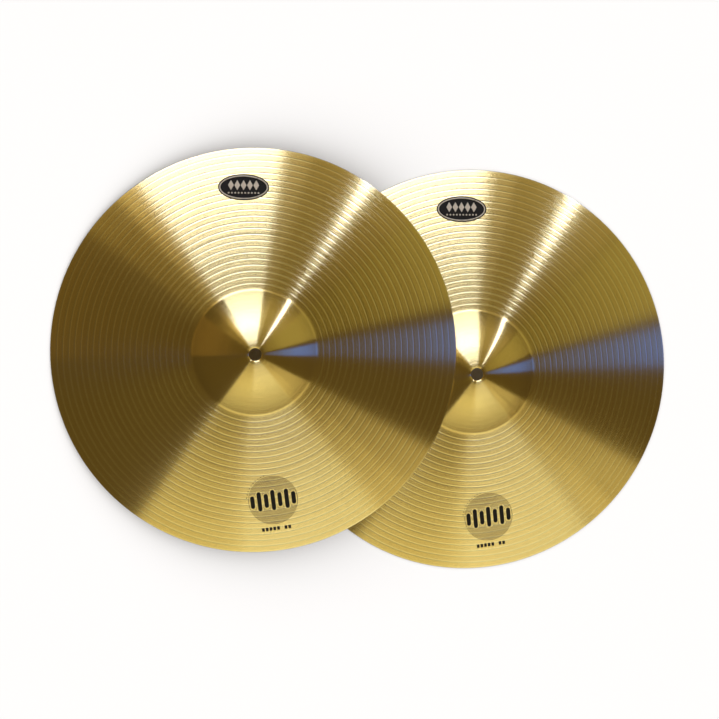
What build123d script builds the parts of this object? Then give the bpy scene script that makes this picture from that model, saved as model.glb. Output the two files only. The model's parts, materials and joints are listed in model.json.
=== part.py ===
from build123d import *
import math
import os

# A pair of 16 inch hand cymbals. The lower one lies bell up on its rim. The upper one leans on it:
# its left rim stands on the same surface and its right rim rests just clear of the lower bell.
# +Z is up and +X runs from the upper disc towards the lower one. The origin is the middle of the
# pair's footprint, on the surface that it stands on. Everything is in millimetres.

# Disc
RIM_RADIUS = 203.2
WALL = 1.2
BELL_RADIUS = 62.0
BELL_RISE = 23.0
BOW_RISE = 20.0
BOW_BULGE = 3.0
CREASE_ROUND = 4.0
RIM_ROUND = 0.4

# Centre hole and the countersink around its mouth
HOLE_RADIUS = 6.35
SINK_WIDTH = 1.3
SINK_DEPTH = 0.35

# Lathe grooves in the top of the bow
GROOVE_PITCH = 6.05
GROOVE_WIDTH = 1.6
GROOVE_DEPTH = 0.12
GROOVES_FROM_BELL = 7.5
GROOVES_FROM_RIM = 6.4

# How the pair lies
CENTRE_DISTANCE = 225.0
REST_GAP = 0.3

# Printed films
FILM = 0.1

# Oval badge, with its long axis at BADGE_TURN from +X
BADGE_AZIMUTH = 99.8
BADGE_FROM_RIM = 38.6
BADGE_TURN = 5.6
BADGE_WIDTH = 51.0
BADGE_HEIGHT = 26.0
BADGE_EDGE = 1.2
KEYLINE_WIDTH = 1.2
DIAMOND_COUNT = 5
DIAMOND_WIDTH = 5.8
DIAMOND_HEIGHT = 10.0
DIAMOND_PITCH = 6.3
DIAMOND_LIFT = 2.0
BADGE_DOT_COUNT = 10
BADGE_DOT_RADIUS = 0.85
BADGE_DOT_PITCH = 3.3
BADGE_DOT_DROP = 5.6

# Round print, with its bars square to the radius
ROUND_AZIMUTH = 283.5
ROUND_FROM_RIM = 52.8
RING_OUTER_RADIUS = 24.8
RING_INNER_RADIUS = 6.2
RING_PITCH = 1.24
RING_WIDTH = 0.5
LEVEL_WIDTH = 4.3
LEVEL_PITCH = 6.9
LEVEL_HEIGHTS = (13.0, 20.0, 14.5, 21.0, 14.5, 20.0, 13.0)
LEVEL_MARGIN = 1.1
ARC_DOT_COUNT = 10
ARC_DOT_RADIUS = 0.6
ARC_DOT_GAP = 1.7
ARC_DOT_FIRST = 104.0
ARC_DOT_LAST = 168.0
DASH_DROP = 29.4
DASH_HEIGHT = 3.6
DASH_WIDTH = 2.7
DASH_PITCH = 3.8
DASH_COUNT = 8
DASH_SKIPPED = 5

UP = (0, 0, 1)
LEAN_LIMIT = 45.0
LEAN_STEPS = 60
STATIONS = 400


def bow_arc():
    """Centre and radius of the underside arc of the bow, in the plane of radius and height."""
    inner = Vector(BELL_RADIUS, BOW_RISE)
    outer = Vector(RIM_RADIUS, 0)
    chord = outer - inner
    half_chord = chord.length / 2
    radius = (half_chord**2 + BOW_BULGE**2) / (2 * BOW_BULGE)
    upward = Vector(-chord.Y, chord.X).normalized()
    centre = (inner + outer) * 0.5 - upward * (radius - BOW_BULGE)
    return centre, radius


def bell_arc():
    """Centre and radius of the underside arc of the bell, whose centre is on the axis."""
    radius = (BELL_RADIUS**2 + BELL_RISE**2) / (2 * BELL_RISE)
    return Vector(0, BOW_RISE + BELL_RISE - radius), radius


BOW_CENTRE, BOW_ARC = bow_arc()
BELL_CENTRE, BELL_ARC = bell_arc()


def bow_point(r, offset=0.0):
    """Point of the bow's underside at radius r, or of the surface at an offset above it."""
    return Vector(r, BOW_CENTRE.Y + math.sqrt((BOW_ARC + offset) ** 2 - (r - BOW_CENTRE.X) ** 2))


def bell_point(r, offset=0.0):
    """Point of the bell's underside at radius r, or of the surface at an offset above it."""
    return Vector(r, BELL_CENTRE.Y + math.sqrt((BELL_ARC + offset) ** 2 - r**2))


def crease_radius(offset):
    """Radius at which the bell and the bow meet on the surface at an offset above the underside."""
    between = BOW_CENTRE - BELL_CENTRE
    bell, bow = BELL_ARC + offset, BOW_ARC + offset
    along = (bell**2 - bow**2 + between.length**2) / (2 * between.length)
    across = math.sqrt(bell**2 - along**2)
    unit = between.normalized()
    return BELL_CENTRE.X + unit.X * along - unit.Y * across


def surface_height(r, offset=0.0):
    """Height at radius r of the whole underside, or of the surface at an offset above it."""
    if r < crease_radius(offset):
        return bell_point(r, offset).Y
    return bow_point(r, offset).Y


def groove_radii():
    """Radii of the groove centres, from the bell outwards."""
    first = BELL_RADIUS + GROOVES_FROM_BELL
    count = int((RIM_RADIUS - GROOVES_FROM_RIM - first) / GROOVE_PITCH) + 1
    return [first + GROOVE_PITCH * k for k in range(count)]


def groove_cutters():
    """Circles in the section plane whose lowest arcs are the grooves."""
    arc = ((GROOVE_WIDTH / 2) ** 2 + GROOVE_DEPTH**2) / (2 * GROOVE_DEPTH)
    cutters = []
    for r in groove_radii():
        surface = bow_point(r, WALL)
        outward = (surface - BOW_CENTRE).normalized()
        centre = surface + outward * (arc - GROOVE_DEPTH)
        cutters.append(Pos(centre.X, centre.Y) * Circle(arc))
    return cutters


def disc_section():
    """Half section of the disc, with radius along X and height along Y."""
    crease = crease_radius(WALL)
    bell_middle = (HOLE_RADIUS + BELL_RADIUS) / 2
    bow_middle = (BELL_RADIUS + RIM_RADIUS) / 2
    outline = [
        ThreePointArc(bell_point(HOLE_RADIUS), bell_point(bell_middle), bell_point(BELL_RADIUS)),
        ThreePointArc(bow_point(BELL_RADIUS), bow_point(bow_middle), bow_point(RIM_RADIUS)),
        Line(bow_point(RIM_RADIUS), bow_point(RIM_RADIUS, WALL)),
        ThreePointArc(bow_point(RIM_RADIUS, WALL), bow_point(bow_middle, WALL), bow_point(crease, WALL)),
        ThreePointArc(bell_point(crease, WALL), bell_point(bell_middle, WALL), bell_point(HOLE_RADIUS, WALL)),
        Line(bell_point(HOLE_RADIUS, WALL), bell_point(HOLE_RADIUS)),
    ]
    section = make_face(Curve() + outline)
    corners = section.vertices()
    under_crease = corners.sort_by_distance(bell_point(BELL_RADIUS))[0]
    top_crease = corners.sort_by_distance(bell_point(crease, WALL))[0]
    section = fillet(top_crease, CREASE_ROUND)
    under_crease = section.vertices().sort_by_distance(under_crease)[0]
    section = fillet(under_crease, CREASE_ROUND + WALL)
    top_rim = section.vertices().sort_by_distance(bow_point(RIM_RADIUS, WALL))[0]
    section = fillet(top_rim, RIM_ROUND)
    mouth = bell_point(HOLE_RADIUS, WALL)
    sink_edge = bell_point(HOLE_RADIUS + SINK_WIDTH, WALL)
    sink = make_face(Polyline((mouth.X, mouth.Y - SINK_DEPTH), sink_edge, (mouth.X, mouth.Y + WALL), close=True))
    return section - sink - groove_cutters()


def disc():
    """One cymbal with its rim plane at z = 0 and its axis on Z."""
    return revolve(Plane.XZ * disc_section(), Axis.Z)


def film_blank(inner, outer):
    """Ring of film on the bow's top surface between two radii, bridging the grooves."""
    middle = (inner + outer) / 2
    top = WALL + FILM
    outline = [
        ThreePointArc(bow_point(inner, WALL), bow_point(middle, WALL), bow_point(outer, WALL)),
        Line(bow_point(outer, WALL), bow_point(outer, top)),
        ThreePointArc(bow_point(outer, top), bow_point(middle, top), bow_point(inner, top)),
        Line(bow_point(inner, top), bow_point(inner, WALL)),
    ]
    return revolve(Plane.XZ * make_face(Curve() + outline), Axis.Z)


def films(sketches, azimuth, radius, turn, reach):
    """Solids of film for each named flat sketch, laid on the bow around one print's centre."""
    blank = film_blank(radius - reach, radius + reach)
    angle = math.radians(azimuth)
    place = Pos(radius * math.cos(angle), radius * math.sin(angle)) * Rot(0, 0, turn)
    height = surface_height(0, WALL + FILM) + FILM
    pieces = {}
    for name, sketch in sketches.items():
        pieces[name] = Compound((extrude(place * sketch, height, dir=UP) & blank).solids())
    return pieces


def badge_sketches():
    """The oval badge: a dark ground with an edge line, a pale keyline, diamonds and a row of dots."""
    def oval(inset):
        return Ellipse(BADGE_WIDTH / 2 - inset, BADGE_HEIGHT / 2 - inset)

    diamonds = Sketch()
    half, tall = DIAMOND_WIDTH / 2, DIAMOND_HEIGHT / 2
    for k in range(DIAMOND_COUNT):
        x = (k - (DIAMOND_COUNT - 1) / 2) * DIAMOND_PITCH
        corners = Polyline((-half, 0), (0, -tall), (half, 0), (0, tall), close=True)
        diamonds += Pos(x, DIAMOND_LIFT) * make_face(corners)
    dots = Sketch()
    for k in range(BADGE_DOT_COUNT):
        x = (k - (BADGE_DOT_COUNT - 1) / 2) * BADGE_DOT_PITCH
        dots += Pos(x, -BADGE_DOT_DROP) * Circle(BADGE_DOT_RADIUS)
    keyline = oval(BADGE_EDGE) - oval(BADGE_EDGE + KEYLINE_WIDTH)
    ground = oval(0) - keyline - diamonds - dots
    return {"badge_ground": ground, "badge_keyline": keyline, "badge_diamonds": diamonds, "badge_dots": dots}


def level_bars(margin):
    """The row of upright round-ended bars of the round print, grown by a margin."""
    bars = Sketch()
    for k, height in enumerate(LEVEL_HEIGHTS):
        x = (k - (len(LEVEL_HEIGHTS) - 1) / 2) * LEVEL_PITCH
        bars += Pos(x, 0) * SlotOverall(height + 2 * margin, LEVEL_WIDTH + 2 * margin, rotation=90)
    return bars


def round_sketches():
    """The round print: fine rings, upright bars across them, a dotted arc and a row of dashes."""
    rings = Sketch()
    count = int((RING_OUTER_RADIUS - RING_INNER_RADIUS) / RING_PITCH) + 1
    for k in range(count):
        outer = RING_OUTER_RADIUS - RING_PITCH * k
        rings += Circle(outer) - Circle(outer - RING_WIDTH)
    rings -= level_bars(LEVEL_MARGIN)
    dots = Sketch()
    for k in range(ARC_DOT_COUNT):
        angle = math.radians(ARC_DOT_FIRST + (ARC_DOT_LAST - ARC_DOT_FIRST) * k / (ARC_DOT_COUNT - 1))
        distance = RING_OUTER_RADIUS + ARC_DOT_GAP
        dots += Pos(distance * math.cos(angle), distance * math.sin(angle)) * Circle(ARC_DOT_RADIUS)
    dashes = Sketch()
    for k in range(DASH_COUNT):
        if k != DASH_SKIPPED:
            x = (k - (DASH_COUNT - 1) / 2) * DASH_PITCH
            dashes += Pos(x, -DASH_DROP) * Rectangle(DASH_WIDTH, DASH_HEIGHT)
    return {"ring_print": rings, "level_bars": level_bars(0), "arc_dots": dots, "series_dashes": dashes}


def rest_clearance(lean):
    """Least height of the leaning upper disc over the lower disc, along the line of centres."""
    c, s = math.cos(lean), math.sin(lean)
    least = WALL * STATIONS
    for k in range(STATIONS + 1):
        along = RIM_RADIUS * k / STATIONS
        under = surface_height(along)
        x = along * c - under * s - CENTRE_DISTANCE
        z = RIM_RADIUS * s + along * s + under * c
        if abs(x) < RIM_RADIUS:
            least = min(least, z - surface_height(abs(x), WALL))
    return least


def rest_lean():
    """Lean in degrees at which the upper disc clears the lower one by the rest gap."""
    low, high = 0.0, math.radians(LEAN_LIMIT)
    for _ in range(LEAN_STEPS):
        middle = (low + high) / 2
        if rest_clearance(middle) < REST_GAP:
            low = middle
        else:
            high = middle
    return math.degrees(high)


os.makedirs("parts", exist_ok=True)

badge_radius = RIM_RADIUS - BADGE_FROM_RIM
round_radius = RIM_RADIUS - ROUND_FROM_RIM
pieces = {"cymbal": disc()}
pieces |= films(badge_sketches(), BADGE_AZIMUTH, badge_radius, BADGE_TURN, BADGE_WIDTH / 2)
round_reach = DASH_DROP + DASH_HEIGHT
pieces |= films(round_sketches(), ROUND_AZIMUTH, round_radius, ROUND_AZIMUTH - 270, round_reach)

lean = rest_lean()
upper_centre = Pos(0, 0, RIM_RADIUS * math.sin(math.radians(lean))) * Rot(0, -lean, 0)
lower_centre = Pos(CENTRE_DISTANCE, 0, 0)
upper_box = (upper_centre * pieces["cymbal"]).bounding_box()
lower_box = (lower_centre * pieces["cymbal"]).bounding_box()
to_middle = Pos(-(upper_box.min.X + lower_box.max.X) / 2, 0, 0)

places = {"upper": to_middle * upper_centre, "lower": to_middle * lower_centre}
for side, place in places.items():
    for name, piece in pieces.items():
        export_step(place * piece, f"parts/{side}_{name}.step")
    mouth = place * Pos(0, 0, bell_point(HOLE_RADIUS, WALL / 2).Y)
    print(side, "hole", mouth.position, "axis", mouth.z_axis.direction)
print("lean", lean, "grooves", len(groove_radii()))
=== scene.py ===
"""A pair of lathed brass hand cymbals, one leaning on the other, on a pale table."""

import json
import logging
import math
from dataclasses import dataclass, field
from enum import Enum
from typing import Callable, Iterable

import bmesh
import bpy
from mathutils import Matrix, Vector


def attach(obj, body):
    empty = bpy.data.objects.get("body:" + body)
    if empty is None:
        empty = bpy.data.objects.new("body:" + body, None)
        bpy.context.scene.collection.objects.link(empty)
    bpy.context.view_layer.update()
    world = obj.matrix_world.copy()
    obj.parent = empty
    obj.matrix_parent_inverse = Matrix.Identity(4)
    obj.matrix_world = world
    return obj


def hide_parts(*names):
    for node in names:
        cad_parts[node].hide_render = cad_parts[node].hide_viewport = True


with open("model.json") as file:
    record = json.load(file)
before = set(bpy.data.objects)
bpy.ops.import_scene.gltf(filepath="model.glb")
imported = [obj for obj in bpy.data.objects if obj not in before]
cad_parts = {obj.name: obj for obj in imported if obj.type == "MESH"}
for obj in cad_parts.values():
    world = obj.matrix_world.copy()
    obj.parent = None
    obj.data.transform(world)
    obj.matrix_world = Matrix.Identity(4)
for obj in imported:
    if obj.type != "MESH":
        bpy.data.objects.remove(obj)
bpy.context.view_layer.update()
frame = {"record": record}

LOG = logging.getLogger("hand_cymbals")
MM = 0.001
ROUND_AXIS = "round_axis"
HALF_TURN = 180.0


class Side(Enum):
    """The two cymbals of the pair, by how they lie."""

    LOWER = "lower"
    UPPER = "upper"

    @property
    def body(self) -> str:
        """The moving body that this cymbal's pieces ride on."""
        return f"{self.value}_cymbal_body"


class Slot(Enum):
    """The record's material slots."""

    BRASS = "brass"
    BADGE_INK = "badge_ink"
    PALE_INK = "pale_ink"
    RING_INK = "ring_ink"
    BOLD_INK = "bold_ink"


class NodeTree:
    """A short way to add and join shader nodes."""

    MIX_FACTOR = 0
    MIX_COLOURS = (6, 7)
    MIX_RESULT = 2

    def __init__(self, tree: bpy.types.NodeTree) -> None:
        """Keeps the tree and empties it.

        Args:
            tree: The material's or the world's node tree.
        """
        self.tree = tree
        self.tree.nodes.clear()

    def add(self, kind: str, **settings: object) -> bpy.types.Node:
        """Adds one node.

        Args:
            kind: The node's type name without its ShaderNode prefix.
            settings: Attributes of the node, or inputs where the name starts with in_.

        Returns:
            The new node.
        """
        node = self.tree.nodes.new("ShaderNode" + kind)
        for name, value in settings.items():
            if name.startswith("in_"):
                node.inputs[name[3:].replace("_", " ")].default_value = value
            else:
                setattr(node, name, value)
        return node

    def join(self, source: bpy.types.NodeSocket, target: bpy.types.NodeSocket) -> None:
        """Links one socket to another."""
        self.tree.links.new(source, target)

    def math(self, operation: str, first: object, second: object = 0.0) -> bpy.types.NodeSocket:
        """Adds a math node.

        Args:
            operation: The node's operation.
            first: A socket or a number.
            second: A socket or a number.

        Returns:
            The node's result.
        """
        node = self.add("Math", operation=operation)
        for socket, value in zip(node.inputs, (first, second)):
            if isinstance(value, bpy.types.NodeSocket):
                self.join(value, socket)
            else:
                socket.default_value = value
        return node.outputs[0]

    def vector(self, operation: str, *sources: bpy.types.NodeSocket) -> bpy.types.NodeSocket:
        """Adds a vector math node.

        Args:
            operation: The node's operation.
            sources: The vectors that it takes.

        Returns:
            The node's vector.
        """
        node = self.add("VectorMath", operation=operation)
        for socket, source in zip(node.inputs, sources):
            self.join(source, socket)
        return node.outputs[0]

    def spread(
        self, value: bpy.types.NodeSocket, low: float, high: float, to_low: float, to_high: float,
    ) -> bpy.types.NodeSocket:
        """Maps a value from one range to another, held at its ends.

        Args:
            value: The socket to map.
            low: The start of the range that it comes from.
            high: The end of that range.
            to_low: What low becomes.
            to_high: What high becomes.

        Returns:
            The mapped value.
        """
        node = self.add("MapRange", in_From_Min=low, in_From_Max=high, in_To_Min=to_low, in_To_Max=to_high)
        self.join(value, node.inputs["Value"])
        return node.outputs["Result"]

    def mix(
        self, factor: bpy.types.NodeSocket, first: object, second: object, blend: str = "MIX",
    ) -> bpy.types.NodeSocket:
        """Mixes two colours.

        Args:
            factor: How much of the second colour shows.
            first: A socket or a colour.
            second: A socket or a colour.
            blend: The blend type.

        Returns:
            The mixed colour.
        """
        node = self.add("Mix", data_type="RGBA", blend_type=blend)
        self.join(factor, node.inputs[self.MIX_FACTOR])
        for place, value in zip(self.MIX_COLOURS, (first, second)):
            socket = node.inputs[place]
            if isinstance(value, bpy.types.NodeSocket):
                self.join(value, socket)
            else:
                socket.default_value = (*value, 1.0)
        return node.outputs[self.MIX_RESULT]


@dataclass(frozen=True)
class LathedBrass:
    """Brass turned on a lathe and lacquered: its shine runs across the turning marks."""

    shape: "DiscShape"
    colour: tuple[float, float, float] = (0.87, 0.69, 0.32)
    deep_colour: tuple[float, float, float] = (0.82, 0.61, 0.25)
    groove_colour: tuple[float, float, float] = (0.93, 0.78, 0.44)
    roughness: float = 0.20
    brushing: float = 1.0
    brushing_turn: float = 0.25
    lacquer: float = 0.06
    lacquer_roughness: float = 0.25
    mark_width: float = 0.03 * MM
    mark_tilt: float = 0.18
    marks_in_groove: float = 0.08
    groove_blend: tuple[float, float] = (0.8, 1.2)
    band_scale: float = 90.0
    band_range: tuple[float, float] = (0.3, 0.7)
    band_strength: float = 0.25
    cloud_scale: float = 14.0
    cloud_range: tuple[float, float] = (0.35, 0.7)
    cloud_strength: float = 0.5

    def material(self) -> bpy.types.Material:
        """Builds the brass.

        Returns:
            The finished material.
        """
        made = bpy.data.materials.new("lathed_brass")
        made.use_nodes = True
        nodes = NodeTree(made.node_tree)
        place = nodes.add("TexCoord").outputs["Object"]
        around = nodes.add("Attribute", attribute_name=ROUND_AXIS).outputs["Vector"]
        length = nodes.add("VectorMath", operation="LENGTH")
        nodes.join(around, length.inputs[0])
        radius = length.outputs["Value"]
        between = self.between_grooves(nodes, radius)
        shader = nodes.add(
            "BsdfPrincipled", in_Metallic=1.0, in_Roughness=self.roughness, in_Anisotropic=self.brushing,
            in_Anisotropic_Rotation=self.brushing_turn, in_Coat_Weight=self.lacquer,
            in_Coat_Roughness=self.lacquer_roughness,
        )
        turning = nodes.add(
            "VectorTransform", vector_type="VECTOR", convert_from="OBJECT", convert_to="WORLD",
        )
        nodes.join(around, turning.inputs[0])
        nodes.join(turning.outputs[0], shader.inputs["Tangent"])
        nodes.join(self.scored_normal(nodes, turning.outputs[0], radius, between), shader.inputs["Normal"])
        nodes.join(self.tint(nodes, place, radius, between), shader.inputs["Base Color"])
        nodes.join(shader.outputs[0], nodes.add("OutputMaterial").inputs["Surface"])
        return made

    def scored_normal(
        self, nodes: NodeTree, turning: bpy.types.NodeSocket, radius: bpy.types.NodeSocket,
        between: bpy.types.NodeSocket,
    ) -> bpy.types.NodeSocket:
        """Normal of the scored surface: each fine mark tips it inwards or outwards by its own amount.

        Args:
            nodes: The material's nodes.
            turning: The direction of turning.
            radius: The distance from the disc's axis.
            between: How strongly the fine marks show.

        Returns:
            The normal.
        """
        mark = nodes.math("FLOOR", nodes.math("DIVIDE", radius, self.mark_width))
        chance = nodes.add("TexWhiteNoise", noise_dimensions="1D")
        nodes.join(mark, chance.inputs["W"])
        parts = nodes.add("SeparateColor")
        nodes.join(chance.outputs["Color"], parts.inputs[0])
        both = nodes.math("ADD", parts.outputs[0], parts.outputs[1])
        rough = nodes.math("MULTIPLY", between, self.mark_tilt)
        tip = nodes.math("MULTIPLY", nodes.math("SUBTRACT", both, 1.0), rough)
        smooth = nodes.add("NewGeometry").outputs["Normal"]
        outward = nodes.vector("NORMALIZE", nodes.vector("CROSS_PRODUCT", turning, smooth))
        tipped = nodes.add("VectorMath", operation="SCALE")
        nodes.join(outward, tipped.inputs[0])
        nodes.join(tip, tipped.inputs["Scale"])
        return nodes.vector("NORMALIZE", nodes.vector("ADD", smooth, tipped.outputs[0]))

    def between_grooves(self, nodes: NodeTree, radius: bpy.types.NodeSocket) -> bpy.types.NodeSocket:
        """How strongly the fine marks show: in full between the grooves, hardly in a groove's smooth floor.

        Args:
            nodes: The material's nodes.
            radius: The distance from the disc's axis.

        Returns:
            The strength, up to 1.
        """
        first = self.shape.groove_centres()[0]
        pitch, half = self.shape.groove_pitch, self.shape.groove_width / 2
        off = nodes.math("PINGPONG", nodes.math("ABSOLUTE", nodes.math("SUBTRACT", radius, first)), pitch / 2)
        inner, outer = self.groove_blend
        along = nodes.spread(off, half * inner, half * outer, self.marks_in_groove, 1.0)
        on_bell = nodes.math("LESS_THAN", radius, first - half)
        return nodes.math("MAXIMUM", along, on_bell)

    def tint(
        self, nodes: NodeTree, place: bpy.types.NodeSocket, radius: bpy.types.NodeSocket,
        between: bpy.types.NodeSocket,
    ) -> bpy.types.NodeSocket:
        """Colour of the brass: bands that follow the turning, soft cloudy toning and lighter grooves.

        Args:
            nodes: The material's nodes.
            place: The point on the disc.
            radius: The distance from the disc's axis.
            between: How strongly the fine marks show.

        Returns:
            The colour.
        """
        bands = nodes.add("TexNoise", noise_dimensions="1D", in_Scale=self.band_scale, in_Detail=2.0)
        nodes.join(radius, bands.inputs["W"])
        clouds = nodes.add("TexNoise", in_Scale=self.cloud_scale, in_Detail=3.0, in_Roughness=0.55)
        nodes.join(place, clouds.inputs["Vector"])
        banded = nodes.spread(bands.outputs[0], *self.band_range, 0.0, self.band_strength)
        clouded = nodes.spread(clouds.outputs[0], *self.cloud_range, 0.0, self.cloud_strength)
        first = nodes.mix(banded, self.colour, self.deep_colour)
        toned = nodes.mix(clouded, first, self.deep_colour)
        return nodes.mix(between, self.groove_colour, toned)


@dataclass(frozen=True)
class Ink:
    """Screen-printed ink: nearly even, with a faint mottle from the screen."""

    name: str
    colour: tuple[float, float, float]
    thin_colour: tuple[float, float, float]
    roughness: float = 0.45
    shine: float = 0.15
    mottle_scale: float = 900.0
    thin_range: tuple[float, float] = (0.5, 0.75)
    thin_share: float = 0.6
    roughness_range: tuple[float, float] = (0.3, 0.7)
    roughness_swing: float = 0.06
    relief: float = 0.01 * MM
    relief_strength: float = 0.4

    def material(self) -> bpy.types.Material:
        """Builds the ink.

        Returns:
            The finished material.
        """
        made = bpy.data.materials.new(self.name)
        made.use_nodes = True
        nodes = NodeTree(made.node_tree)
        place = nodes.add("TexCoord").outputs["Object"]
        mottle = nodes.add("TexNoise", in_Scale=self.mottle_scale, in_Detail=2.0)
        nodes.join(place, mottle.inputs["Vector"])
        thin = nodes.spread(mottle.outputs[0], *self.thin_range, 0.0, self.thin_share)
        bump = nodes.add("Bump", in_Strength=self.relief_strength, in_Distance=self.relief)
        nodes.join(mottle.outputs[0], bump.inputs["Height"])
        shader = nodes.add("BsdfPrincipled", in_Specular_IOR_Level=self.shine)
        smooth, rough = self.roughness - self.roughness_swing, self.roughness + self.roughness_swing
        uneven = nodes.spread(mottle.outputs[0], *self.roughness_range, smooth, rough)
        nodes.join(uneven, shader.inputs["Roughness"])
        nodes.join(nodes.mix(thin, self.colour, self.thin_colour), shader.inputs["Base Color"])
        nodes.join(bump.outputs[0], shader.inputs["Normal"])
        nodes.join(shader.outputs[0], nodes.add("OutputMaterial").inputs["Surface"])
        return made


INKS: dict[Slot, Ink] = {
    Slot.BADGE_INK: Ink("badge_black", (0.012, 0.010, 0.009), (0.03, 0.022, 0.012), 0.55),
    Slot.PALE_INK: Ink("badge_pale", (0.66, 0.57, 0.46), (0.52, 0.43, 0.30), 0.5),
    Slot.RING_INK: Ink("ring_brown", (0.11, 0.055, 0.016), (0.30, 0.18, 0.06), 0.5),
    Slot.BOLD_INK: Ink("bold_black", (0.012, 0.009, 0.008), (0.03, 0.022, 0.014), 0.42),
}


@dataclass(frozen=True)
class DiscShape:
    """The disc's section: a bell and a bow, each an arc, with lathe grooves in the bow's top."""

    rim_radius: float = 203.2 * MM
    wall: float = 1.2 * MM
    bell_radius: float = 62.0 * MM
    bell_rise: float = 23.0 * MM
    bow_rise: float = 20.0 * MM
    bow_bulge: float = 3.0 * MM
    crease_round: float = 4.0 * MM
    rim_round: float = 0.4 * MM
    hole_radius: float = 6.35 * MM
    sink_width: float = 1.3 * MM
    sink_depth: float = 0.35 * MM
    groove_pitch: float = 6.05 * MM
    groove_width: float = 1.6 * MM
    groove_depth: float = 0.12 * MM
    grooves_from_bell: float = 7.5 * MM
    groove_count: int = 22
    crease_blend: float = 0.28
    mouth_bevel: tuple[float, float] = (0.05 * MM, 0.08 * MM)
    sink_bevel: tuple[float, float] = (0.12 * MM, 0.03 * MM)
    rim_bevel: tuple[float, float] = (0.06 * MM, 0.04 * MM)
    rim_angles: tuple[int, ...] = (60, 30, 0)
    bell_steps: int = 16
    bell_margin: float = 5.0 * MM
    crease_steps: tuple[float, ...] = (-4, -3, -2.2, -1.5, -1, -0.5, 0, 0.6, 1.4, 2.6, 4)
    groove_shares: tuple[float, ...] = (-1.18, -1.0, -0.6, -0.2, 0.2, 0.6, 1.0, 1.18)
    rim_shares: tuple[float, ...] = (4.0, 2.0, 1.0)
    under_margin: float = 6.0 * MM
    under_edge: float = 1.0 * MM
    under_bow_steps: int = 22
    under_bell_steps: int = 11
    under_crease_steps: tuple[float, ...] = (3.5, 1.5, 0.5, 0.0, -0.5, -1.5, -3.5)

    @property
    def bell_arc(self) -> float:
        """Radius of the bell's underside arc."""
        return (self.bell_radius**2 + self.bell_rise**2) / (2 * self.bell_rise)

    @property
    def bow_arc(self) -> tuple[float, float, float]:
        """The arc of the bow's underside.

        Returns:
            Its centre's radius and height, and its own radius.
        """
        run, drop = self.rim_radius - self.bell_radius, self.bow_rise
        chord = math.hypot(run, drop)
        arc = ((chord / 2) ** 2 + self.bow_bulge**2) / (2 * self.bow_bulge)
        back = (arc - self.bow_bulge) / chord
        return self.bell_radius + run / 2 - drop * back, drop / 2 - run * back, arc

    def groove_centres(self) -> list[float]:
        """Radii of the groove centres, from the bell outwards."""
        first = self.bell_radius + self.grooves_from_bell
        return [first + self.groove_pitch * k for k in range(self.groove_count)]

    def sheet_height(self, radius: float, offset: float) -> float:
        """Height of the smooth sheet.

        Args:
            radius: The distance from the axis.
            offset: How far outside the underside the surface lies.

        Returns:
            The height above the rim plane, with the crease rounded.
        """
        bell_level = self.bow_rise + self.bell_rise - self.bell_arc
        bell = bell_level + math.sqrt(max((self.bell_arc + offset) ** 2 - radius**2, 0.0))
        centre, level, arc = self.bow_arc
        bow = level + math.sqrt((arc + offset) ** 2 - (radius - centre) ** 2)
        blend = self.crease_round * self.crease_blend
        gap = (bell - bow) / blend
        if abs(gap) > 1.0:
            return max(bell, bow)
        return (bell + bow) / 2 + blend * (1 + gap * gap) / 4

    def groove_at(self, radius: float) -> float:
        """Depth of the groove at a radius.

        Args:
            radius: The distance from the axis.

        Returns:
            The depth, or 0 between grooves.
        """
        step = (radius - self.bell_radius - self.grooves_from_bell) / self.groove_pitch
        nearest = min(max(round(step), 0), self.groove_count - 1)
        off = abs(step - nearest) * self.groove_pitch / (self.groove_width / 2)
        return self.groove_depth * (1 - off * off) if off < 1.0 else 0.0

    def top(self, radius: float) -> float:
        """Height of the finished top surface at a radius."""
        return self.sheet_height(radius, self.wall) - self.groove_at(radius)

    def under(self, radius: float) -> float:
        """Height of the underside at a radius."""
        return self.sheet_height(radius, 0.0)

    def stations(self) -> list[float]:
        """Radii at which the top is drawn, close together around each groove and the crease.

        Returns:
            The radii, from the hole outwards.
        """
        mouth = self.hole_radius + self.sink_width
        run = self.bell_radius - self.bell_margin - mouth
        radii = [mouth + run * k / self.bell_steps for k in range(self.bell_steps + 1)]
        radii += [self.bell_radius + step * MM for step in self.crease_steps]
        half = self.groove_width / 2
        for centre in self.groove_centres():
            radii += [centre + half * share for share in self.groove_shares]
        radii += [self.rim_radius - self.rim_round * share for share in self.rim_shares]
        return radii

    def outline(self) -> list[tuple[float, float]]:
        """The closed section, from the hole's mouth over the top and back underneath.

        Returns:
            Its points, as radius and height.
        """
        mouth = self.hole_radius
        sunk = self.sheet_height(mouth, self.wall) - self.sink_depth
        points = [(mouth, self.under(mouth)), (mouth, sunk - self.mouth_bevel[1])]
        points.append((mouth + self.mouth_bevel[0], sunk))
        edge = mouth + self.sink_width
        points.append((edge - self.sink_bevel[0], self.top(edge) - self.sink_bevel[1]))
        points += [(radius, self.top(radius)) for radius in self.stations()]
        corner = self.rim_radius - self.rim_round
        level = self.top(corner) - self.rim_round
        for angle in self.rim_angles:
            turn = math.radians(angle)
            points.append((corner + self.rim_round * math.cos(turn), level + self.rim_round * math.sin(turn)))
        points.append((self.rim_radius, self.rim_bevel[1]))
        points.append((self.rim_radius - self.rim_bevel[0], 0.0))
        points += [(radius, self.under(radius)) for radius in self.under_stations()]
        return points

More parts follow.
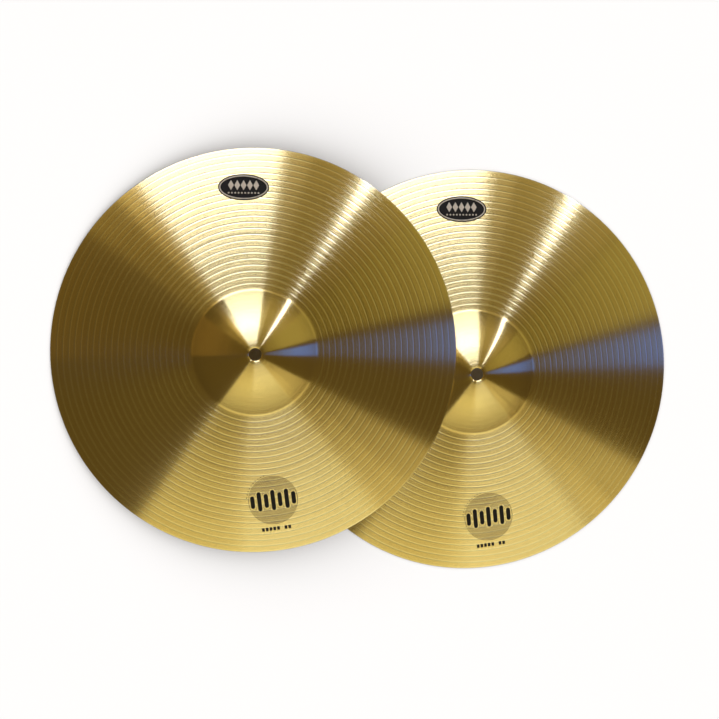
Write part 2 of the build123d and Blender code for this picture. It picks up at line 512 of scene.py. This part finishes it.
    def under_stations(self) -> list[float]:
        """Radii at which the underside is drawn.

        Returns:
            The radii, from the rim inwards.
        """
        start = self.rim_radius - self.under_edge
        run = self.rim_radius - self.bell_radius - self.under_margin
        radii = [start - run * k / self.under_bow_steps for k in range(self.under_bow_steps + 1)]
        radii += [self.bell_radius + step * MM for step in self.under_crease_steps]
        start = self.bell_radius - self.under_margin
        run = start - self.under_edge - self.hole_radius
        radii += [start - run * k / self.under_bell_steps for k in range(self.under_bell_steps + 1)]
        return radii


@dataclass(frozen=True)
class PrintPlace:
    """Where a print lies on the disc, and how it is turned."""

    radius: float
    azimuth: float
    turn: float

    def on_disc(self, x: float, y: float) -> tuple[float, float]:
        """Moves a point of the print's own flat frame to the disc's.

        Args:
            x: Across the print.
            y: Up the print.

        Returns:
            The point's X and Y in the disc's frame.
        """
        around, turned = math.radians(self.azimuth), math.radians(self.turn)
        c, s = math.cos(turned), math.sin(turned)
        return (
            self.radius * math.cos(around) + x * c - y * s,
            self.radius * math.sin(around) + x * s + y * c,
        )


Outline = list[tuple[float, float]]


@dataclass
class Film:
    """One ink film: flat shapes that are laid on the grooved surface of a disc."""

    shape: DiscShape
    place: PrintPlace
    lift: float = 0.05 * MM
    thickness: float = 0.03 * MM
    cell: float = 0.55 * MM
    bm: bmesh.types.BMesh = field(default_factory=bmesh.new)

    def fill(self, outline: Outline) -> None:
        """Adds a filled convex shape, cut into small cells so that it can follow the grooves.

        Args:
            outline: The shape's corners in the print's own frame.
        """
        flat = bmesh.new()
        flat.faces.new([flat.verts.new((x, y, 0.0)) for x, y in outline])
        for axis in (0, 1):
            low = min(point[axis] for point in outline)
            high = max(point[axis] for point in outline)
            normal = Vector((1, 0, 0)) if axis == 0 else Vector((0, 1, 0))
            for k in range(1, int((high - low) / self.cell) + 1):
                cut = normal * (low + k * self.cell)
                everything = flat.verts[:] + flat.edges[:] + flat.faces[:]
                bmesh.ops.bisect_plane(flat, geom=everything, plane_co=cut, plane_no=normal)
        made = {vert: self.bm.verts.new(vert.co) for vert in flat.verts}
        for face in flat.faces:
            self.bm.faces.new([made[vert] for vert in face.verts])
        flat.free()

    def ring(
        self, inner: Outline, outer: Outline, keep: Callable[[float, float], bool] = lambda x, y: True,
    ) -> None:
        """Adds a closed strip between two loops of the same number of points.

        Args:
            inner: The inner loop.
            outer: The outer loop.
            keep: Says whether the strip shows at a point.
        """
        inside = [self.bm.verts.new((x, y, 0.0)) for x, y in inner]
        outside = [self.bm.verts.new((x, y, 0.0)) for x, y in outer]
        count = len(inside)
        for k in range(count):
            after = (k + 1) % count
            middle = (inside[k].co + outside[after].co) / 2
            if keep(middle.x, middle.y):
                self.bm.faces.new((inside[k], outside[k], outside[after], inside[after]))
        loose = [vert for vert in self.bm.verts if not vert.link_faces]
        bmesh.ops.delete(self.bm, geom=loose, context="VERTS")

    def finish(self, name: str) -> bpy.types.Object:
        """Lays the shapes on the disc and gives them their thickness.

        Args:
            name: The piece's name.

        Returns:
            The film, in the disc's own frame.
        """
        for vert in self.bm.verts:
            x, y = self.place.on_disc(vert.co.x, vert.co.y)
            vert.co = (x, y, self.shape.top(math.hypot(x, y)) + self.lift)
        bmesh.ops.recalc_face_normals(self.bm, faces=self.bm.faces[:])
        upward = sum(face.normal.z * face.calc_area() for face in self.bm.faces)
        if upward < 0:
            bmesh.ops.reverse_faces(self.bm, faces=self.bm.faces[:])
        mesh = bpy.data.meshes.new(name)
        self.bm.to_mesh(mesh)
        self.bm.free()
        mesh.shade_smooth()
        made = bpy.data.objects.new(name, mesh)
        bpy.context.scene.collection.objects.link(made)
        skin = made.modifiers.new("thickness", "SOLIDIFY")
        skin.thickness = self.thickness
        skin.offset = -1.0
        return made


def ellipse(width: float, height: float, steps: int = 160) -> Outline:
    """Points of an ellipse.

    Args:
        width: Its full width.
        height: Its full height.
        steps: How many points.

    Returns:
        The points, counter-clockwise.
    """
    turns = [2 * math.pi * k / steps for k in range(steps)]
    return [(width / 2 * math.cos(t), height / 2 * math.sin(t)) for t in turns]


def moved(outline: Iterable[tuple[float, float]], x: float, y: float) -> Outline:
    """The same outline, moved by x and y."""
    return [(px + x, py + y) for px, py in outline]


def round_bar(width: float, height: float, steps: int = 12) -> Outline:
    """Points of an upright bar with round ends.

    Args:
        width: Its width.
        height: Its full height.
        steps: Points in each end.

    Returns:
        The points, counter-clockwise.
    """
    straight = (height - width) / 2
    points: Outline = []
    for start, level in ((0.0, straight), (math.pi, -straight)):
        for k in range(steps + 1):
            turn = start + math.pi * k / steps
            points.append((width / 2 * math.cos(turn), level + width / 2 * math.sin(turn)))
    return points


def row(count: int, pitch: float) -> list[float]:
    """Places of a centred row.

    Args:
        count: How many.
        pitch: The distance from one to the next.

    Returns:
        The places, left to right.
    """
    return [(k - (count - 1) / 2) * pitch for k in range(count)]


@dataclass
class OvalBadge:
    """The oval badge near the rim: black ground, pale keyline, a row of diamonds and a row of dots."""

    shape: DiscShape
    place: PrintPlace = PrintPlace(164.6 * MM, 99.8, 5.6)
    width: float = 51.0 * MM
    height: float = 26.0 * MM
    edge: float = 1.2 * MM
    keyline: float = 1.2 * MM
    diamond_count: int = 5
    diamond_width: float = 5.8 * MM
    diamond_height: float = 10.0 * MM
    diamond_pitch: float = 6.3 * MM
    diamond_lift: float = 2.0 * MM
    dot_count: int = 10
    dot_radius: float = 0.85 * MM
    dot_pitch: float = 3.3 * MM
    dot_drop: float = 5.6 * MM
    upper_lift: float = 0.08 * MM
    line_steps: int = 360
    dot_steps: int = 20

    def build(self) -> dict[str, tuple[bpy.types.Object, Slot]]:
        """Builds the badge's films.

        Returns:
            Each node's film and its slot.
        """
        ground = Film(self.shape, self.place)
        ground.fill(ellipse(self.width, self.height))
        line = Film(self.shape, self.place, lift=self.upper_lift)
        inset = 2 * (self.edge + self.keyline)
        line.ring(
            ellipse(self.width - inset, self.height - inset, self.line_steps),
            ellipse(self.width - 2 * self.edge, self.height - 2 * self.edge, self.line_steps),
        )
        diamonds = Film(self.shape, self.place, lift=self.upper_lift)
        half, tall = self.diamond_width / 2, self.diamond_height / 2
        for x in row(self.diamond_count, self.diamond_pitch):
            corners = [(-half, 0.0), (0.0, -tall), (half, 0.0), (0.0, tall)]
            diamonds.fill(moved(corners, x, self.diamond_lift))
        dots = Film(self.shape, self.place, lift=self.upper_lift)
        for x in row(self.dot_count, self.dot_pitch):
            dot = ellipse(2 * self.dot_radius, 2 * self.dot_radius, self.dot_steps)
            dots.fill(moved(dot, x, -self.dot_drop))
        return {
            "badge_ground": (ground.finish("badge_ground_film"), Slot.BADGE_INK),
            "badge_keyline": (line.finish("badge_keyline_film"), Slot.PALE_INK),
            "badge_diamonds": (diamonds.finish("badge_diamonds_film"), Slot.PALE_INK),
            "badge_dots": (dots.finish("badge_dots_film"), Slot.PALE_INK),
        }


@dataclass
class RoundPrint:
    """The round print: fine rings, upright bars across them, a dotted arc and a row of dashes."""

    shape: DiscShape
    place: PrintPlace = PrintPlace(150.4 * MM, 283.5, 13.5)
    ring_outer: float = 24.8 * MM
    ring_inner: float = 6.2 * MM
    ring_pitch: float = 1.24 * MM
    ring_width: float = 0.5 * MM
    ring_steps: int = 720
    level_width: float = 4.3 * MM
    level_pitch: float = 6.9 * MM
    level_heights: tuple[float, ...] = (13.0, 20.0, 14.5, 21.0, 14.5, 20.0, 13.0)
    level_margin: float = 1.1 * MM
    arc_dot_count: int = 10
    arc_dot_radius: float = 0.6 * MM
    arc_dot_gap: float = 1.7 * MM
    arc_dot_steps: int = 16
    arc_dot_span: tuple[float, float] = (104.0, 168.0)
    dash_drop: float = 29.4 * MM
    dash_height: float = 3.6 * MM
    dash_width: float = 2.7 * MM
    dash_pitch: float = 3.8 * MM
    dash_count: int = 8
    dash_skipped: int = 5

    def build(self) -> dict[str, tuple[bpy.types.Object, Slot]]:
        """Builds the print's films.

        Returns:
            Each node's film and its slot.
        """
        rings = Film(self.shape, self.place)
        count = int((self.ring_outer - self.ring_inner) / self.ring_pitch) + 1
        for k in range(count):
            outer = 2 * (self.ring_outer - self.ring_pitch * k)
            inner = outer - 2 * self.ring_width
            inside, outside = (ellipse(width, width, self.ring_steps) for width in (inner, outer))
            rings.ring(inside, outside, self.clear_of_bars)
        levels = Film(self.shape, self.place)
        for x, height in zip(row(len(self.level_heights), self.level_pitch), self.level_heights):
            levels.fill(moved(round_bar(self.level_width, height * MM), x, 0.0))
        dots = Film(self.shape, self.place)
        first, last = self.arc_dot_span
        for k in range(self.arc_dot_count):
            turn = math.radians(first + (last - first) * k / (self.arc_dot_count - 1))
            reach = self.ring_outer + self.arc_dot_gap
            dot = ellipse(2 * self.arc_dot_radius, 2 * self.arc_dot_radius, self.arc_dot_steps)
            dots.fill(moved(dot, reach * math.cos(turn), reach * math.sin(turn)))
        dashes = Film(self.shape, self.place)
        half, tall = self.dash_width / 2, self.dash_height / 2
        for k, x in enumerate(row(self.dash_count, self.dash_pitch)):
            if k != self.dash_skipped:
                corners = [(-half, -tall), (half, -tall), (half, tall), (-half, tall)]
                dashes.fill(moved(corners, x, -self.dash_drop))
        return {
            "ring_print": (rings.finish("ring_print_film"), Slot.RING_INK),
            "level_bars": (levels.finish("level_bars_film"), Slot.BOLD_INK),
            "arc_dots": (dots.finish("arc_dots_film"), Slot.BOLD_INK),
            "series_dashes": (dashes.finish("series_dashes_film"), Slot.BOLD_INK),
        }

    def clear_of_bars(self, x: float, y: float) -> bool:
        """Whether a point lies outside every bar and its margin.

        Args:
            x: Across the print.
            y: Up the print.

        Returns:
            True where the fine rings show.
        """
        reach = self.level_width / 2 + self.level_margin
        for middle, height in zip(row(len(self.level_heights), self.level_pitch), self.level_heights):
            straight = (height * MM - self.level_width) / 2
            beyond = max(abs(y) - straight, 0.0)
            if math.hypot(x - middle, beyond) < reach:
                return False
        return True


@dataclass
class Cymbal:
    """One cymbal: the lathed disc and its prints."""

    side: Side
    shape: DiscShape
    materials: dict[Slot, bpy.types.Material]
    segments: int = 400
    pieces: list[bpy.types.Object] = field(default_factory=list)

    def placement(self) -> Matrix:
        """Where the disc lies: flat, or leaning with one edge on the floor.

        Returns:
            The disc's frame, its rim centre at the origin and its axis on Z.
        """
        holes = {mount["name"]: mount for mount in frame["record"]["mounts"]}
        hole = holes[f"{self.side.value}_centre_hole"]
        axis, place = Vector(hole["axis"]), Vector(hole["pos_m"])
        lean = math.atan2(-axis.x, axis.z)
        rise = self.shape.rim_radius * math.sin(lean)
        centre = place - axis * ((place.z - rise) / axis.z)
        return Matrix.Translation((centre.x, 0.0, rise)) @ Matrix.Rotation(-lean, 4, "Y")

    def lathe(self) -> bpy.types.Object:
        """Turns the section about the axis.

        Returns:
            The disc, in its own frame.
        """
        outline = self.shape.outline()
        count = len(outline)
        verts: list[tuple[float, float, float]] = []
        faces: list[tuple[int, int, int, int]] = []
        for step in range(self.segments):
            turn = 2 * math.pi * step / self.segments
            c, s = math.cos(turn), math.sin(turn)
            verts += [(radius * c, radius * s, height) for radius, height in outline]
            here, after = step * count, (step + 1) % self.segments * count
            for k in range(count):
                up = (k + 1) % count
                faces.append((here + k, here + up, after + up, after + k))
        mesh = bpy.data.meshes.new("disc")
        mesh.from_pydata(verts, [], faces)
        mesh.validate()
        mesh.shade_smooth()
        made = bpy.data.objects.new("disc", mesh)
        bpy.context.scene.collection.objects.link(made)
        return made

    def mark_turning(self, mesh: bpy.types.Mesh, where: Matrix) -> None:
        """Stores the direction of turning at each vertex, as long as the vertex's radius.

        Args:
            mesh: The disc, in its own frame.
            where: The disc's frame.
        """
        layer = mesh.attributes.new(ROUND_AXIS, "FLOAT_VECTOR", "POINT")
        turn = where.to_3x3()
        for vert, item in zip(mesh.vertices, layer.data):
            item.vector = turn @ Vector((-vert.co.y, vert.co.x, 0.0))

    def dress(self, made: bpy.types.Object, node: str, slot: Slot, where: Matrix) -> None:
        """Names a piece, places it, and gives it its body, slot and material.

        Args:
            made: The piece, in the disc's own frame.
            node: The CAD node that it stands for, without its side.
            slot: Its material slot.
            where: The disc's frame.
        """
        made.name = f"{self.side.value}_{node}_visual"
        made.data.transform(where)
        made.data.materials.append(self.materials[slot])
        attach(made, self.side.body)
        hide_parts(f"{self.side.value}_{node}")
        self.pieces.append(made)
        LOG.info("%s: %d faces, %s", made.name, len(made.data.polygons), slot.value)

    def build(self) -> None:
        """Builds and places the disc and every film on it."""
        where = self.placement()
        disc = self.lathe()
        self.mark_turning(disc.data, where)
        self.dress(disc, "cymbal", Slot.BRASS, where)
        for print_on in (OvalBadge(self.shape), RoundPrint(self.shape)):
            for node, (made, slot) in print_on.build().items():
                self.dress(made, node, slot, where)


@dataclass(frozen=True)
class Softbox:
    """An upright lit panel, given by the stretch of a disc that shines in it.

    The stretch is in degrees round the disc, counter-clockwise from +X. The panel reaches from its low to its
    high elevation: below about 45 degrees it shines mostly in the bell, and above that in the bow.
    """

    name: str
    start: float
    end: float
    radiance: float
    colour: tuple[float, float, float] = (1.0, 1.0, 1.0)
    low: float = 8.0
    high: float = 70.0

    @property
    def far(self) -> bool:
        """Whether the panel stands on the badges' side."""
        return self.start < HALF_TURN


SOFTBOXES: tuple[Softbox, ...] = (
    Softbox("broad", 88.3, 130.2, 3.6, (1.0, 1.10, 1.42), low=48.0),
    Softbox("broad_low", 88.3, 126.0, 1.55, (1.0, 1.10, 1.35), high=49.0),
    Softbox("broad_fade", 130.2, 137.5, 1.00, (1.0, 0.82, 0.36), low=47.0),
    Softbox("left_fade", 137.5, 150.0, 0.28, (1.0, 0.76, 0.26), low=46.0),
    Softbox("left_warm", 150.0, 188.0, 0.09, (1.0, 0.62, 0.16), high=58.0),
    Softbox("between", 47.0, 80.0, 0.32, (1.0, 0.86, 0.38), low=20.0),
    Softbox("broad_start", 80.0, 88.3, 0.62, (1.0, 0.92, 0.58), low=32.0),
    Softbox("streak", 61.4, 63.6, 7.5, (1.0, 1.18, 1.75), high=65.0),
    Softbox("near_left", 241.0, 273.0, 0.78, (1.0, 0.93, 0.48), low=45.0),
    Softbox("near_right", 272.0, 314.8, 1.04, (1.0, 1.0, 0.72), low=45.0),
    Softbox("near_low", 241.0, 314.8, 0.56, (1.0, 0.96, 0.56), high=46.0),
    Softbox("near_fade", 314.0, 324.8, 0.62, (1.0, 0.90, 0.46), low=24.0),
    Softbox("near_end", 324.0, 338.0, 0.48, (1.0, 0.90, 0.46), low=24.0),
    Softbox("near_end_low", 314.0, 338.0, 0.42, (1.0, 0.90, 0.46), high=25.0),
    Softbox("right_dim", 20.0, 47.0, 0.30, (1.0, 0.92, 0.34)),
    Softbox("right_cool", 3.5, 15.0, 0.17, (0.36, 1.0, 4.2), low=46.0, high=63.0),
    Softbox("right_cool_low", 3.5, 15.0, 0.175, (0.22, 1.05, 6.4), high=47.0),
)


@dataclass
class Studio:
    """Floor, surroundings, lights and camera."""

    distance: float = 9.0
    camera_away: float = 4.0
    camera_lean: tuple[float, float] = (-0.172, 0.079)
    camera_roll: float = 96.4
    camera_aim: tuple[float, float, float] = (-0.0049, 0.0015, 0.020)
    camera_lens: float = 199.0
    sensor: float = 36.0
    camera_reach: float = 50.0
    lower_far_turn: float = 3.8
    table_size: float = 60.0
    table_colour: tuple[float, float, float] = (0.85, 0.855, 0.885)
    table_roughness: float = 0.8
    wash_height: float = 3.0
    wash_strength: float = 3.4
    wash_angle: float = 150.0
    horizon_colour: tuple[float, float, float] = (0.075, 0.055, 0.020)
    overhead_colour: tuple[float, float, float] = (0.105, 0.076, 0.024)
    overhead_from: float = 0.35

    @property
    def back(self) -> Vector:
        """Direction from the object to the camera."""
        x, y = self.camera_lean
        return Vector((x, y, math.sqrt(1 - x * x - y * y)))

    @property
    def stand(self) -> Vector:
        """Where the camera stands."""
        return Vector(self.camera_aim) + self.back * self.camera_away

    def build(self) -> None:
        """Builds everything that isn't the object or its softboxes."""
        self.floor()
        self.surroundings()
        self.camera()

    def floor(self) -> None:
        """A pale table top, with a wash of light that falls on it alone."""
        bpy.ops.mesh.primitive_plane_add(size=self.table_size)
        top = bpy.context.object
        top.name = "table_top"
        made = bpy.data.materials.new("pale_table")
        made.use_nodes = True
        nodes = NodeTree(made.node_tree)
        shader = nodes.add(
            "BsdfPrincipled", in_Base_Color=(*self.table_colour, 1.0), in_Roughness=self.table_roughness,
        )
        nodes.join(shader.outputs[0], nodes.add("OutputMaterial").inputs["Surface"])
        top.data.materials.append(made)
        top.visible_glossy = False
        wash = bpy.data.lights.new("floor_wash", "SUN")
        wash.energy = self.wash_strength
        wash.angle = math.radians(self.wash_angle)
        lamp = bpy.data.objects.new("floor_wash", wash)
        lamp.location = (0.0, 0.0, self.wash_height)
        bpy.context.scene.collection.objects.link(lamp)
        self.only_on(lamp, [top])

    def only_on(self, lamp: bpy.types.Object, receivers: list[bpy.types.Object]) -> None:
        """Keeps a light to some receivers.

        Args:
            lamp: The light.
            receivers: The objects that it lights.
        """
        group = bpy.data.collections.new(lamp.name + "_receivers")
        for made in receivers:
            group.objects.link(made)
        lamp.light_linking.receiver_collection = group

    def surroundings(self) -> None:
        """A dim, warm room, a little lighter overhead."""
        world = bpy.data.worlds.new("room")
        world.use_nodes = True
        bpy.context.scene.world = world
        nodes = NodeTree(world.node_tree)
        parts = nodes.add("SeparateXYZ")
        nodes.join(nodes.add("TexCoord").outputs["Generated"], parts.inputs[0])
        rise = nodes.spread(parts.outputs[2], 0.0, self.overhead_from, 0.0, 1.0)
        colour = nodes.mix(rise, self.horizon_colour, self.overhead_colour)
        back = nodes.add("Background", in_Strength=1.0)
        nodes.join(colour, back.inputs["Color"])
        nodes.join(back.outputs[0], nodes.add("OutputWorld").inputs["Surface"])

    def light(self, cymbal: "Cymbal") -> None:
        """Stands a ring of softboxes round one cymbal, square to its own axis.

        The lower cymbal's far ones stand a little further round than the upper one's.

        Args:
            cymbal: The cymbal, already built.
        """
        for box in SOFTBOXES:
            turn = math.radians(self.lower_far_turn if cymbal.side is Side.LOWER and box.far else 0.0)
            where = cymbal.placement() @ Matrix.Rotation(turn, 4, "Z")
            seen = (where.inverted() @ self.stand).normalized()
            lamp = self.softbox(box, seen)
            lamp.name = f"{cymbal.side.value}_{box.name}"
            lamp.matrix_world = where @ lamp.matrix_world
            self.only_on(lamp, cymbal.pieces)

    def softbox(self, box: Softbox, seen: Vector) -> bpy.types.Object:
        """Makes one softbox in a cymbal's frame.

        Args:
            box: The softbox.
            seen: The direction of the camera in the cymbal's frame.

        Returns:
            The light.
        """
        low_start, low_end, high_start, high_end = (
            self.edge(shine, rise, seen) for rise in (box.low, box.high) for shine in (box.start, box.end)
        )
        up = (high_start + high_end - low_start - low_end) / 2
        across = (low_end + high_end - low_start - high_start) / 2
        middle = (low_start + low_end + high_start + high_end) / 4
        tall = up.normalized()
        wide = (across - tall * across.dot(tall)).normalized()
        lamp = bpy.data.lights.new(box.name, "AREA")
        lamp.shape = "RECTANGLE"
        lamp.size = across.dot(wide)
        lamp.size_y = up.length
        lamp.energy = box.radiance * math.pi * lamp.size * lamp.size_y
        lamp.color = box.colour
        made = bpy.data.objects.new(box.name, lamp)
        turn = Matrix((wide, tall, wide.cross(tall))).transposed()
        made.matrix_world = Matrix.Translation(middle) @ turn.to_4x4()
        bpy.context.scene.collection.objects.link(made)
        return made

    def edge(self, shine: float, rise: float, seen: Vector) -> Vector:
        """Point of a softbox's upright edge that makes the disc shine at an azimuth.

        Light and camera lie so that half way between them is a direction over that azimuth.

        Args:
            shine: The azimuth on the disc, in degrees.
            rise: The point's elevation, in degrees.
            seen: The direction of the camera in the disc's frame.

        Returns:
            The point, in the disc's frame.
        """
        turn = math.radians(shine)
        outward = Vector((math.cos(turn), math.sin(turn), 0.0))
        sideways = Vector((-math.sin(turn), math.cos(turn), 0.0))
        height = self.distance * math.tan(math.radians(rise))
        off = seen.dot(sideways)
        shift = off * math.hypot(self.distance, height) / math.sqrt(1 - off * off)
        return outward * self.distance - sideways * shift + Vector((0.0, 0.0, height))

    def camera(self) -> None:
        """The camera, high over the pair and a little to the upper cymbal's side."""
        roll = math.radians(self.camera_roll)
        right = Vector((math.cos(roll), math.sin(roll), 0.0)).cross(self.back).normalized()
        turn = Matrix((right, self.back.cross(right), self.back)).transposed()
        data = bpy.data.cameras.new("camera")
        data.lens = self.camera_lens
        data.sensor_width = self.sensor
        data.clip_end = self.camera_reach
        made = bpy.data.objects.new("camera", data)
        made.matrix_world = Matrix.Translation(self.stand) @ turn.to_4x4()
        bpy.context.scene.collection.objects.link(made)
        bpy.context.scene.camera = made
        bpy.context.scene.view_settings.view_transform = "Standard"


def main() -> None:
    """Builds the studio and both cymbals."""
    logging.basicConfig(level=logging.INFO, format="%(name)s: %(message)s")
    studio = Studio()
    studio.build()
    shape = DiscShape()
    materials = {slot: ink.material() for slot, ink in INKS.items()}
    materials[Slot.BRASS] = LathedBrass(shape).material()
    for side in Side:
        cymbal = Cymbal(side, shape, materials)
        cymbal.build()
        studio.light(cymbal)


if __name__ == "__main__":
    main()
